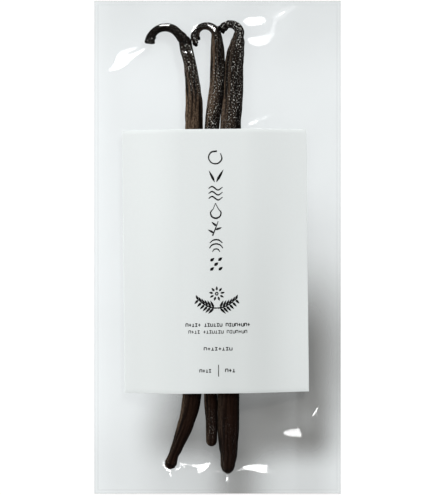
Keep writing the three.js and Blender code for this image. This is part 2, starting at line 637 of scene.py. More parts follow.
@dataclass(frozen=True)
class Shrivel:
    """The relief of a dried skin: long furrows, finer creases and ripples across.

    The cells of each say how often it comes round the pod and how long it is. Below the dry part
    of the pod the lines and the ripple keep only a share of their depth.
    """

    furrow: float = 0.42
    furrow_cells: Point = (1.5, 26.0)
    furrow_sharp: float = 5.0
    crease: float = 0.16
    crease_cells: Point = (3.4, 13.0)
    crease_sharp: float = 4.0
    ripple: float = 0.07
    ripple_cells: Point = (1.6, 1.9)
    full_width: float = 7.0
    dry: Point = (60.0, 140.0)
    low_lines: float = 0.7
    low_ripple: float = 0.55

    @staticmethod
    def wave(angle: float, s: float, cells: Point, seed: float) -> float:
        """Noise on the skin, from -1 to 1.

        Args:
            angle: The angle round the pod.
            s: The distance from the blunt end.
            cells: How often it comes round the pod and how long it is.
            seed: What sets it apart from other noise.

        Returns:
            The noise there.
        """
        around, length = cells
        place = (math.cos(angle) * around, math.sin(angle) * around, s / length + seed)
        return noise.noise(Vector(place))

    def depth(self, angle: float, s: float, width: float, seed: float) -> float:
        """How far the skin stands in from the pod's smooth form.

        Args:
            angle: The angle round the pod.
            s: The distance from the blunt end.
            width: The pod's width there.
            seed: The pod's seed.

        Returns:
            The depth, in millimetres.
        """
        folds = abs(self.wave(angle, s, self.furrow_cells, seed)) * self.furrow_sharp
        lines = self.furrow * max(0.0, 1.0 - folds)
        folds = abs(self.wave(angle, s, self.crease_cells, -seed)) * self.crease_sharp
        lines += self.crease * max(0.0, 1.0 - folds)
        ripple = self.ripple * self.wave(angle, s, self.ripple_cells, seed)
        dry = smooth(s, *self.dry)
        size = min(1.0, width / self.full_width)
        return size * (lines * mix(self.low_lines, 1.0, dry) + ripple * mix(self.low_ripple, 1.0, dry))


def amount_across(amounts: Across, angle: float) -> float:
    """The amount at a place round a pod, from five that run from its left edge to its right.

    Args:
        amounts: The five amounts, at even steps across the pod.
        angle: The angle round the pod, from its right edge over its top.

    Returns:
        The amount there.
    """
    steps = np.linspace(0.0, 1.0, len(amounts))
    return float(np.interp(0.5 + 0.5 * math.cos(angle), steps, amounts))


@dataclass(frozen=True)
class Marks:
    """Where a pod's skin has painted sparkle, and brown or red that are partly painted light.

    Five amounts run across the pod from its left edge to its right. A pair of places holds the
    one where a mark starts and the one where it is full: upper and blunt_bare along the pod from
    its blunt end, stem from its neck, low_end over -Y, torn over the depth of the tear
    and crown over the sine of the angle round the pod. The painted sparkle thins out at its top,
    from the first Y set for that to the second, by the share that it ends with. The brown is laid
    heaviest on the left side, where the light falls, and it darkens towards the neck as painted
    shade; the red is laid on the crown, the lit top of the pod.
    """

    # Painted sparkle: pale specks that stand for glints, and where on the pod they lie.
    painted_sparkle: Across = (0.1, 0.4, 0.9, 0.4, 0.1)
    low_sparkle: Across = (0.0, 0.05, 0.05, 0.0, 0.0)
    stem_sparkle: float = 0.25
    sparkle_start: float = -100.0
    sparkle_soft: float = 7.0
    sparkle_top: Triple = (200.0, 206.0, 0.0)
    low_end: Point = (62.0, 72.0)
    blunt_bare: Point = (1.0, 5.0)
    torn: Point = (0.1, 0.6)
    torn_sparkle: float = 0.6
    # Brown across the pod, heaviest on its left side where the light falls: partly painted light.
    browns: Across = (1.0, 0.6, 0.45, 0.25, 0.1)
    low_browns: Across = (0.3, 0.1, 0.03, 0.0, 0.0)
    # Painted shade: how far the brown darkens towards the neck, under the stem.
    neck_dark: float = 0.55
    neck_reach: float = 26.0
    upper: Point = (105.0, 130.0)
    stem: Point = (-2.0, 5.0)
    # Partly painted light: the red is laid on the crown, the lit top of the pod.
    crown: Point = (0.15, 0.97)
    upper_crown: float = 0.25

    def at(self, angle: float, s: float, y: float, neck: float) -> dict[str, float]:
        """The marks at a point of the skin.

        Args:
            angle: The angle round the pod.
            s: The distance from the blunt end.
            y: The point's Y.
            neck: The distance of the neck from the blunt end.

        Returns:
            The amount of each mark, by the name of its attribute.
        """
        upper = float(smooth(s, *self.upper))
        stem = float(smooth(s - neck, *self.stem))
        low = amount_across(self.low_sparkle, angle) * smooth(-y, *self.low_end)
        low *= float(smooth(s, *self.blunt_bare))
        painted_sparkle = mix(low, amount_across(self.painted_sparkle, angle), upper)
        painted_sparkle *= smooth(y, self.sparkle_start - self.sparkle_soft, self.sparkle_start + self.sparkle_soft)
        thin_from, thin_to, lost = self.sparkle_top
        painted_sparkle *= 1.0 - lost * smooth(y, thin_from, thin_to)
        brown = mix(amount_across(self.low_browns, angle), amount_across(self.browns, angle), upper)
        return {
            "painted_sparkle": float(mix(painted_sparkle, self.stem_sparkle, stem)),
            "flank": brown * (1.0 - self.neck_dark * float(smooth(s, neck - self.neck_reach, neck))),
            "crown": mix(1.0, self.upper_crown, upper) * float(smooth(math.sin(angle), *self.crown)),
            "stem": stem,
        }


@dataclass
class Pod:
    """One vanilla pod, from its blunt end to the tip of its hooked stem."""

    name: str
    node: str
    stations: list[Triple]
    stem: Stem
    tail: list[Triple]
    crumbs: list[Crumb]
    skin: PodSkin
    tip: Tip
    seed: float
    marks: Marks
    grooves: tuple[Triple, ...] = ()
    groove_depth: float = 0.3
    shrivel: Shrivel = Shrivel()
    swell: float = 0.15
    bed: float = 0.8
    plump: float = 1.2
    flatten: float = 0.0645
    tip_lift: float = 1.0
    blunt_reach: float = 0.42
    tip_reach: float = 0.55
    tear_cells: float = 0.9
    tear_full: float = 0.3
    sides: int = 96
    ring_gap: float = 0.38
    arc_steps: int = 7
    weld: float = 0.004

    def thickness(self, width: float) -> float:
        """Thickness of the pod where it is this wide."""
        return (self.plump - self.flatten * width) * width

    def knots(self) -> tuple[np.ndarray, np.ndarray]:
        """The points that the middle line passes, with the width at each."""
        rows = [(x, y, self.bed + self.thickness(w) / 2, w) for x, y, w in self.stations]
        stem = self.stem
        for i in range(self.arc_steps + 1):
            share = i / self.arc_steps
            angle = math.radians(mix(stem.start, stem.end, share))
            if share < 0.5:
                width = mix(stem.neck, stem.bend, share * 2)
            else:
                width = mix(stem.bend, stem.tip, (share * 2 - 1) ** 3)
            x = stem.centre[0] + stem.radius * math.cos(angle)
            y = stem.centre[1] + stem.radius * math.sin(angle)
            z = self.bed + self.thickness(width) / 2 + self.tip_lift * share
            rows.append((x, y, z, width))
        for x, y, width in self.tail:
            rows.append((x, y, self.bed + self.thickness(width) / 2 + self.tip_lift, width))
        table = np.array(rows)
        return table[:, :3], table[:, 3]

    def spine(self) -> Spine:
        """The middle line as a centripetal Catmull-Rom curve through the knots."""
        points, widths = self.knots()
        padded = np.vstack([2 * points[0] - points[1], points, 2 * points[-1] - points[-2]])
        samples, wide = [], []
        for i in range(len(points) - 1):
            quad = padded[i : i + 4]
            gaps = np.linalg.norm(np.diff(quad, axis=0), axis=1) ** 0.5
            t = np.concatenate([[0.0], np.cumsum(gaps)])
            count = max(2, int(np.linalg.norm(quad[2] - quad[1]) / self.ring_gap))
            for step in range(count):
                share = step / count
                at = mix(t[1], t[2], share)
                a = [mix(quad[k], quad[k + 1], (at - t[k]) / (t[k + 1] - t[k])) for k in range(3)]
                b = [mix(a[k], a[k + 1], (at - t[k]) / (t[k + 2] - t[k])) for k in range(2)]
                samples.append(mix(b[0], b[1], (at - t[1]) / (t[2] - t[1])))
                wide.append(mix(widths[i], widths[i + 1], smooth(share, 0.0, 1.0)))
        samples.append(points[-1])
        wide.append(widths[-1])
        line = np.array(samples)
        along = np.concatenate([[0.0], np.cumsum(np.linalg.norm(np.diff(line, axis=0), axis=1))])
        return Spine(line, np.array(wide), along)

    def groove(self, angle: float, s: float, rings_at: Sequence[float]) -> float:
        """How deep a point lies in one of the pod's ring grooves, from 0 to 1.

        Args:
            angle: The angle round the pod.
            s: The distance from the blunt end.
            rings_at: The distance of each groove from the blunt end.

        Returns:
            The share of the groove's full depth.
        """
        share = 0.0
        for at, (_, slant, reach) in zip(rings_at, self.grooves, strict=True):
            centre = at + slant * abs(math.cos(angle))
            share = max(share, math.exp(-(((s - centre) / reach) ** 2)))
        return share

    def end_round(self, s: float, length: float, width: float) -> float:
        """The share of its radius that the pod keeps near its ends.

        Args:
            s: The distance from the blunt end.
            length: The pod's length.
            width: Its width there.

        Returns:
            The share, from 0 at the very ends to 1.
        """
        blunt = min(1.0, s / (self.blunt_reach * width))
        tip = min(1.0, (length - s) / self.tip_reach)
        return math.prod(math.sqrt(max(0.0, 1.0 - (1.0 - end) ** 2)) for end in (blunt, tip))

    def raggedness(self, s: float, length: float) -> float:
        """How far the skin is torn out of shape near the stem's end.

        Args:
            s: The distance from the blunt end.
            length: The pod's length.

        Returns:
            The reach of the tear, in millimetres.
        """
        reach, depth = self.tip.value
        return depth * float(smooth(s, length - reach, length - self.tear_full * reach))

    def lay_skin(
        self, bm: bmesh.types.BMesh, spine: Spine, turns: dict[bmesh.types.BMVert, tuple[int, float]]
    ) -> None:
        """Gives the skin its map, along and around the pod in millimetres.

        Args:
            bm: The pod's mesh.
            spine: Its middle line.
            turns: The ring of each vertex and its place round it, from 0 to 1.
        """
        uv = bm.loops.layers.uv["skin"]
        for face in bm.faces:
            for loop in face.loops:
                ring, turn = turns[loop.vert]
                wide = spine.widths[ring]
                girth = math.pi * (wide + self.thickness(wide)) / 2
                loop[uv].uv = (spine.along[ring], (turn - 0.5) * girth)

    def build(self) -> bpy.types.Object:
        """Rolls a grid round the middle line and closes it at both ends."""
        spine = self.spine()
        rings = len(spine.points) - 1
        tangents = np.gradient(spine.points, axis=0)
        tangents /= np.linalg.norm(tangents, axis=1)[:, None]
        length = spine.along[-1]
        neck = spine.along_at(self.stations[-1][1])
        rings_at = [spine.along_at(y) for y, _, _ in self.grooves]
        bm = bmesh.new()
        bmesh.ops.create_grid(bm, x_segments=rings, y_segments=self.sides, size=0.5)
        bm.loops.layers.uv.new("skin")
        names = ("painted_sparkle", "flank", "crown", "stem", "groove")
        layers = {name: bm.verts.layers.float.new(name) for name in names}
        turns = {v: (round((v.co.x + 0.5) * rings), v.co.y + 0.5) for v in bm.verts}
        self.lay_skin(bm, spine, turns)
        up = np.array((0.0, 0.0, 1.0))
        for vert, (ring, turn) in turns.items():
            s, width = spine.along[ring], spine.widths[ring]
            angle = turn * math.tau - math.pi / 2
            side = np.cross(tangents[ring], up)
            side /= np.linalg.norm(side)
            lift = np.cross(side, tangents[ring])
            pinch = self.groove(angle, s, rings_at)
            depth = self.shrivel.depth(angle, s, width, self.seed) + self.groove_depth * pinch
            half = max(0.0, width / 2 + self.swell - depth) * self.end_round(s, length, width)
            high = half * self.thickness(width) / width
            place = spine.points[ring] + side * math.cos(angle) * half + lift * math.sin(angle) * high
            ragged = self.raggedness(s, length)
            if ragged > 0.0:
                grain = noise.noise_vector(Vector(place) * self.tear_cells + Vector((self.seed,) * 3))
                place = place + np.array(grain) * ragged
            vert.co = Vector(place)
            marks = self.marks.at(angle, s, place[1], neck)
            # Painted sparkle on the torn skin at the stem's end.
            marks["painted_sparkle"] += self.marks.torn_sparkle * float(smooth(ragged, *self.marks.torn))
            marks["groove"] = pinch
            for name, layer in layers.items():
                vert[layer] = marks[name]
        bmesh.ops.remove_doubles(bm, verts=bm.verts, dist=self.weld)
        for crumb in self.crumbs:
            crumb.add(bm, self.seed)
        bmesh.ops.recalc_face_normals(bm, faces=bm.faces)
        return finish_mesh(bm, self.name, self.skin.material(), [self.node])

    def top_over(self, xs: np.ndarray, ys: np.ndarray) -> np.ndarray:
        """Height of the pod's smooth top over each point.

        Args:
            xs: Places across the bag.
            ys: Places along the bag.

        Returns:
            The height at each, or 0 beside the pod.
        """
        spine = self.spine()
        top = np.zeros_like(xs)
        for (x, y, z), width in zip(spine.points[::2], spine.widths[::2], strict=True):
            near = np.hypot(xs - x, ys - y) / (width / 2)
            high = self.thickness(width) / 2
            crown = z + high * np.sqrt(np.clip(1.0 - near**2, 0.0, 1.0))
            top = np.where(near < 1.0, np.maximum(top, crown), top)
        return top


def make_pods() -> list[Pod]:
    """The three pods, from left to right."""
    return [
        Pod(
            name="vanilla_left",
            node="pod_left",
            stations=[
                (-19.5, -89.3, 3.9),
                (-19.4, -88.7, 4.7),
                (-18.9, -87.3, 4.7),
                (-17.8, -84.0, 3.9),
                (-16.4, -80.7, 4.6),
                (-12.7, -71.0, 6.2),
                (-10.5, -61.2, 7.3),
                (-9.6, -5.0, 7.6),
                (-9.55, 52.0, 7.0),
                (-9.45, 60.0, 6.6),
                (-10.35, 67.9, 5.5),
                (-11.35, 75.0, 4.8),
                (-12.6, 80.0, 5.0),
                (-13.2, 83.0, 4.8),
            ],
            stem=Stem((-20.95, 82.4), 6.45, 40.0, 182.0, 3.5, 2.9, 4.3),
            tail=[],
            crumbs=[Crumb((-25.9, 84.6, 2.6), 0.9)],
            skin=PodSkin("pod_skin_left"),
            tip=Tip.FLARED,
            seed=3.7,
            marks=Marks(
                painted_sparkle=(0.75, 0.95, 0.9, 0.9, 0.7),
                low_sparkle=(0.0, 0.04, 0.1, 0.12, 0.0),
                stem_sparkle=0.12,
                sparkle_start=65.0,
                sparkle_top=(80.6, 82.4, 0.9),
                browns=(1.0, 0.55, 0.68, 0.36, 0.14),
                low_browns=(0.5, 0.09, 0.03, 0.03, 0.0),
                neck_dark=0.95,
            ),
            grooves=((81.6, 2.6, 0.45), (-88.2, 0.0, 0.3)),
        ),
        Pod(
            name="vanilla_middle",
            node="pod_middle",
            stations=[
                (-2.4, -80.2, 3.0),
                (-2.4, -79.5, 3.8),
                (-2.4, -77.6, 4.3),
                (-2.35, -71.0, 4.5),
                (-2.7, -61.0, 5.2),
                (-2.5, 0.0, 5.6),
                (-2.15, 50.9, 6.0),
                (-1.25, 57.8, 6.0),
                (-0.3, 65.0, 5.8),
                (0.05, 73.5, 5.8),
                (0.0, 79.5, 5.4),
                (-0.3, 83.5, 4.6),
            ],
            stem=Stem((-4.65, 85.1), 4.35, 28.0, 172.0, 3.6, 2.5, 3.2),
            tail=[(-9.3, 84.2, 3.0), (-8.9, 82.3, 1.9)],
            crumbs=[
                Crumb((-9.5, 84.0, 3.0), 1.3),
                Crumb((-8.9, 82.7, 2.8), 1.0),
                Crumb((-8.7, 81.8, 2.6), 0.7),
                Crumb((-7.9, 84.4, 3.2), 0.9),
                Crumb((-9.3, 82.4, 2.3), 0.8),
            ],
            skin=PodSkin("pod_skin_middle"),
            tip=Tip.RAGGED,
            seed=11.2,
            marks=Marks(
                painted_sparkle=(0.25, 0.6, 1.0, 0.55, 0.2),
                low_sparkle=(0.0, 0.2, 0.3, 0.08, 0.0),
                sparkle_top=(65.0, 77.0, 0.6),
                browns=(0.85, 0.64, 0.32, 0.08, 0.02),
                low_browns=(0.45, 0.12, 0.06, 0.0, 0.0),
                neck_dark=0.1,
            ),
        ),
        Pod(
            name="vanilla_right",
            node="pod_right",
            stations=[
                (4.25, -91.0, 3.4),
                (4.25, -90.6, 4.3),
                (4.2, -89.6, 5.1),
                (4.2, -88.6, 5.5),
                (4.2, -87.2, 5.8),
                (4.55, -83.5, 6.6),
                (4.4, -80.5, 7.4),
                (4.35, -73.0, 8.5),
                (4.4, -61.0, 8.6),
                (5.2, 0.0, 8.8),
                (5.4, 50.9, 8.1),
                (6.4, 62.0, 8.0),
                (6.7, 72.8, 7.7),
                (7.3, 77.7, 7.3),
                (8.1, 82.5, 5.6),
                (8.5, 85.4, 4.0),
            ],
            stem=Stem((5.2, 86.3), 3.8, 12.0, 140.0, 3.6, 2.9, 3.1),
            tail=[(1.6, 88.4, 2.4)],
            crumbs=[
                Crumb((1.4, 88.4, 3.2), 1.2),
                Crumb((2.2, 87.4, 3.0), 0.9),
                Crumb((3.4, 88.2, 3.0), 0.8),
            ],
            skin=PodSkin("pod_skin_right", brown=(0.140, 0.096, 0.067)),
            tip=Tip.RAGGED,
            seed=23.9,
            marks=Marks(
                painted_sparkle=(0.1, 0.3, 0.85, 0.6, 0.1),
                low_sparkle=(0.0, 0.02, 0.04, 0.02, 0.0),
                stem_sparkle=0.85,
                browns=(0.95, 0.32, 0.2, 0.07, 0.04),
                low_browns=(0.25, 0.08, 0.03, 0.0, 0.0),
            ),
            grooves=((-89.9, 0.3, 0.3),),
        ),
    ]


# ---- Film -----------------------------------------------------------------------------------


@dataclass(frozen=True)
class PaintedGlint:
    """A painted highlight on the film, over a low fold: a patch whose normal is aimed to catch the key
    light.

    Attributes:
        path: The points that it runs through, as they are seen from above.
        widths: Its width at each.
        strength: How much light it throws, from 0 to 1.
    """

    path: tuple[Point, ...]
    widths: tuple[float, ...]
    strength: float = 1.0

    def share(self, xs: np.ndarray, ys: np.ndarray, edge: float) -> np.ndarray:
        """How much each point belongs to the glint: 0.5 on its outline and 1 well inside.

        Args:
            xs: Places across the bag.
            ys: Places along the bag.
            edge: The distance from the outline to full share.

        Returns:
            The share at each point.
        """
        share = np.zeros_like(xs)
        for i in range(len(self.path) - 1):
            (ax, ay), (bx, by) = self.path[i], self.path[i + 1]
            dx, dy = bx - ax, by - ay
            t = np.clip(((xs - ax) * dx + (ys - ay) * dy) / (dx * dx + dy * dy), 0.0, 1.0)
            off = np.hypot(xs - ax - t * dx, ys - ay - t * dy)
            half = mix(self.widths[i], self.widths[i + 1], t) / 2
            share = np.maximum(share, np.clip(0.5 - (off - half) / (2 * edge), 0.0, 1.0))
        return share


@dataclass(frozen=True)
class Glance:
    """Where the eye and the main light stand, in millimetres."""

    eye: Vector
    lamp: Vector

    def half_way(self, place: Vector) -> Vector:
        """The direction in which a painted glint at a place has to face to mirror the key light to the
        eye.
        """
        return ((self.eye - place).normalized() + (self.lamp - place).normalized()).normalized()


@dataclass(frozen=True)
class BackShade:
    """The shade painted on the back film: a grey field at its lower right, on a faint uneven tone.

    The field has a strip beside the label and a part below it, whose left edge leans. It loses
    shares at its right, at its foot but for the valley under the pods, and in lighter places.
    """

    depth: float = 0.8
    strip: tuple[Fade, ...] = (
        Fade(0.228, x=(20.0, 34.0), y=(30.0, -5.0)),
        Fade(0.912, x=(20.0, 34.0), y=(3.0, -41.0)),
    )
    below_y: Point = (-46.0, -56.0)
    below_x: float = -34.0
    below_lean: Fade = Fade(-4.0, y=(-58.0, -75.0))
    below_soft: float = 30.0
    right: tuple[Fade, ...] = (
        Fade(0.42, x=(38.0, 51.0)),
        Fade(0.30, x=(38.0, 51.0), y=(-45.0, -80.0)),
    )
    foot: Fade = Fade(0.75, y=(-76.0, -92.0))
    valley: Spot = Spot(0.85, (8.0, -90.0), (10.0, 60.0))
    lighter: tuple[Fade | Spot, ...] = (
        Spot(0.2, (-6.0, -66.0), (4.0, 12.0)),
        Fade(0.07, x=(-2.0, 4.0), y=(-66.0, -57.0)),
        Spot(0.08, (33.0, -70.0), (10.0, 8.0)),
    )
    plain: tuple[Fade, ...] = (
        Fade(0.065),
        Fade(0.09, y=(66.0, 100.0)),
        Fade(0.04, x=(-6.0, 16.0)),
        Fade(0.08, x=(20.0, -20.0), y=(-50.0, -96.0)),
        Fade(-0.04, x=(-40.0, -50.0)),
        Fade(0.03, x=(-12.0, -26.0), y=(-20.0, -60.0), end=(-52.0, -34.0)),
    )
    cloud: Point = (16.0, 22.0)
    cloud_depth: float = 0.02
    cloud_seed: float = 1.7
    uneven: tuple[Spot, ...] = (
        Spot(0.07, (24.0, -66.0), (8.0, 6.0)),
        Spot(-0.09, (36.5, -69.5), (4.5, 7.0)),
        Spot(0.05, (-24.0, -79.0), (7.0, 13.0)),
        Spot(0.06, (9.0, -84.5), (14.0, 4.0)),
        Spot(-0.05, (22.5, 92.0), (8.0, 9.0)),
        Spot(-0.03, (15.0, 58.0), (6.0, 18.0)),
    )

    def field_at(self, x: float, y: float) -> float:
        """How full the grey field is.

        Args:
            x: Place across the bag.
            y: Place along the bag.

        Returns:
            The share there, from 0 to a little over 1.
        """
        beside = sum(area.at(x, y) for area in self.strip)
        left = self.below_x + self.below_lean.at(x, y)
        below = smooth(y, *self.below_y) * smooth(x, left, left + self.below_soft)
        share = max(beside, float(below))
        share *= 1.0 - sum(area.at(x, y) for area in self.right)
        share *= 1.0 - self.foot.at(x, y) * (1.0 - self.valley.at(x, y))
        return share * math.prod(1.0 - area.at(x, y) for area in self.lighter)

    def at(self, x: float, y: float) -> float:
        """How deep the shade is.

        Args:
            x: Place across the bag.
            y: Place along the bag.

        Returns:
            The depth there, from 0 to 1.
        """
        share = self.field_at(x, y)
        clouds = noise.noise(Vector((x / self.cloud[0], y / self.cloud[1], self.cloud_seed)))
        tone = sum(area.at(x, y) for area in self.plain) + self.cloud_depth * clouds
        uneven = sum(area.at(x, y) for area in self.uneven)
        return min(1.0, max(0.0, self.depth * share + (1.0 - share) * tone + uneven))


@dataclass
class Pouch:
    """The clear bag: a back film that lies flat and a front film that drapes over its contents.

    The front film settles on grids of several sizes, given in cells of the finest one. The weld
    lines are given by their cells from the rim.
    """

    label: Label
    pods: list[Pod]
    glance: Glance
    painted_glints: list[PaintedGlint]
    back_shade: BackShade = BackShade()
    width: float = 100.0
    length: float = 200.0
    cell: float = 0.5
    levels: tuple[int, ...] = (4, 2, 1)
    rounds: int = 700
    pull: float = 0.0125
    rim_height: float = 0.3
    back_height: float = 0.03
    back_cells: tuple[int, int] = (64, 128)
    clearance: float = 0.3
    glue_inset: float = 0.5
    glue_gap: float = 0.08
    glint_edge: float = 0.75
    weld_lines: dict[int, float] = field(default_factory=lambda: {0: 0.16, 3: 0.05})
    wave: Point = (13.0, 19.0)
    wave_height: float = 0.10
    wave_seed: float = 4.0
    fold_height: float = 0.25
    slack: float = 0.05
    rim_reach: float = 4.0

    def grid(self, cell: float) -> tuple[np.ndarray, np.ndarray]:
        """The points of a grid over the bag.

        Args:
            cell: The size of its cells.

        Returns:
            The X and the Y of each point, as arrays of rows along the bag.
        """
        across = round(self.width / cell) + 1
        down = round(self.length / cell) + 1
        x = np.linspace(-self.width / 2, self.width / 2, across)
        y = np.linspace(-self.length / 2, self.length / 2, down)
        return np.meshgrid(x, y)

    def stuck(self, xs: np.ndarray, ys: np.ndarray) -> tuple[np.ndarray, np.ndarray]:
        """Where the front film is stuck to the card.

        Args:
            xs: The grid's X.
            ys: The grid's Y.

        Returns:
            Whether it is stuck at each point, and the height at which it would be.
        """
        label = self.label
        across = np.abs(xs - label.centre[0]) < label.width / 2 - self.glue_inset
        along = np.abs(ys - label.centre[1]) < label.height / 2 - self.glue_inset
        return across & along, label.underside(xs, ys) - self.glue_gap

    def settle(self) -> tuple[np.ndarray, np.ndarray, np.ndarray]:
        """Lets the front film settle over the pods like a stretched skin.

        Each round moves every free point to the mean of its neighbours, less a small pull towards
        the back film, and lifts it out of the pods. It goes from a coarse grid to a fine one.

        Returns:
            The grid's X, Y and the film's height.
        """
        heights = None
        for level in self.levels:
            cell = self.cell * level
            xs, ys = self.grid(cell)
            floor = np.full_like(xs, self.rim_height)
            for pod in self.pods:
                floor = np.maximum(floor, pod.top_over(xs, ys) + self.clearance)
            stuck, card = self.stuck(xs, ys)
            if heights is None:
                heights = floor.copy()
            else:
                heights = np.kron(heights, np.ones((2, 2)))[: xs.shape[0], : xs.shape[1]]
            edge = np.zeros(xs.shape, dtype=bool)
            edge[[0, -1], :] = True
            edge[:, [0, -1]] = True
            for _ in range(self.rounds):
                mean = 0.25 * (
                    np.roll(heights, 1, 0)
                    + np.roll(heights, -1, 0)
                    + np.roll(heights, 1, 1)
                    + np.roll(heights, -1, 1)
                )
                heights = np.maximum(mean - self.pull * cell * cell / 4, floor)
                heights = np.where(stuck, card, heights)
                heights[edge] = self.rim_height
        return xs, ys, heights

    def glint_share(
        self, xs: np.ndarray, ys: np.ndarray, heights: np.ndarray
    ) -> tuple[np.ndarray, np.ndarray]:
        """How much each point of the front film belongs to a painted glint.

        Args:
            xs: The grid's X.
            ys: The grid's Y.
            heights: The film's height at each point.

        Returns:
            The share, and the strength of the nearest glint.
        """
        stretch = self.glance.eye.z / (self.glance.eye.z - heights)
        share = np.zeros_like(xs)
        strength = np.zeros_like(xs)
        for glint in self.painted_glints:
            own = glint.share(xs * stretch, ys * stretch, self.glint_edge)
            strength = np.where(own > share, glint.strength, strength)
            share = np.maximum(share, own)
        return share, strength

    def build_front(self) -> bpy.types.Object:
        """The front film, with a low fold standing up under each painted glint."""
        xs, ys, heights = self.settle()
        share, strength = self.glint_share(xs, ys, heights)
        stuck, _ = self.stuck(xs, ys)
        rows, columns = xs.shape
        bm = bmesh.new()
        bmesh.ops.create_grid(bm, x_segments=columns - 1, y_segments=rows - 1, size=0.5)
        glint = bm.verts.layers.float.new("glint")
        power = bm.verts.layers.float.new("strength")
        shade = bm.verts.layers.float.new("shade")
        facing = bm.verts.layers.float_vector.new("facing")
        for vert in bm.verts:
            i = round((vert.co.x + 0.5) * (columns - 1))
            j = round((vert.co.y + 0.5) * (rows - 1))
            place = Vector((xs[j, i], ys[j, i], heights[j, i]))
            if not stuck[j, i]:
                inset = min(self.width / 2 - abs(place.x), self.length / 2 - abs(place.y))
                waves = (place.x / self.wave[0], place.y / self.wave[1], self.wave_seed)
                rise = self.wave_height * noise.noise(Vector(waves)) + self.fold_height * share[j, i]
                place.z += min(1.0, inset / self.rim_reach) * (rise + self.slack)
            vert.co = place
            vert[glint] = share[j, i]
            vert[power] = strength[j, i]
            # The normal of the painted glints, aimed half way between the eye and the key light.
            vert[facing] = self.glance.half_way(place)
            inward = min(i, j, columns - 1 - i, rows - 1 - j)
            vert[shade] = self.weld_lines.get(inward, 0.0)
        rim = [e for e in bm.edges if e.is_boundary]
        skirt = bmesh.ops.extrude_edge_only(bm, edges=rim)["geom"]
        for vert in [g for g in skirt if isinstance(g, bmesh.types.BMVert)]:
            vert.co.z = self.back_height
        bmesh.ops.recalc_face_normals(bm, faces=bm.faces)
        finish = Film("film_front_clear", True)
        return finish_mesh(bm, "film_front", finish.material(), ["bag"])

    def build_back(self) -> bpy.types.Object:
        """The back film, flat on what the bag lies on."""
        bm = bmesh.new()
        across, along = self.back_cells
        bmesh.ops.create_grid(bm, x_segments=across, y_segments=along, size=0.5)
        bmesh.ops.scale(bm, vec=(self.width, self.length, 1.0), verts=bm.verts)
        bmesh.ops.translate(bm, vec=(0.0, 0.0, self.back_height), verts=bm.verts)
        shade = bm.verts.layers.float.new("shade")
        for vert in bm.verts:
            # Painted shade, and a faint uneven tone, on the back film.
            vert[shade] = self.back_shade.at(vert.co.x, vert.co.y)
        finish = Film("film_back_clear", False)
        return finish_mesh(bm, "film_back", finish.material())


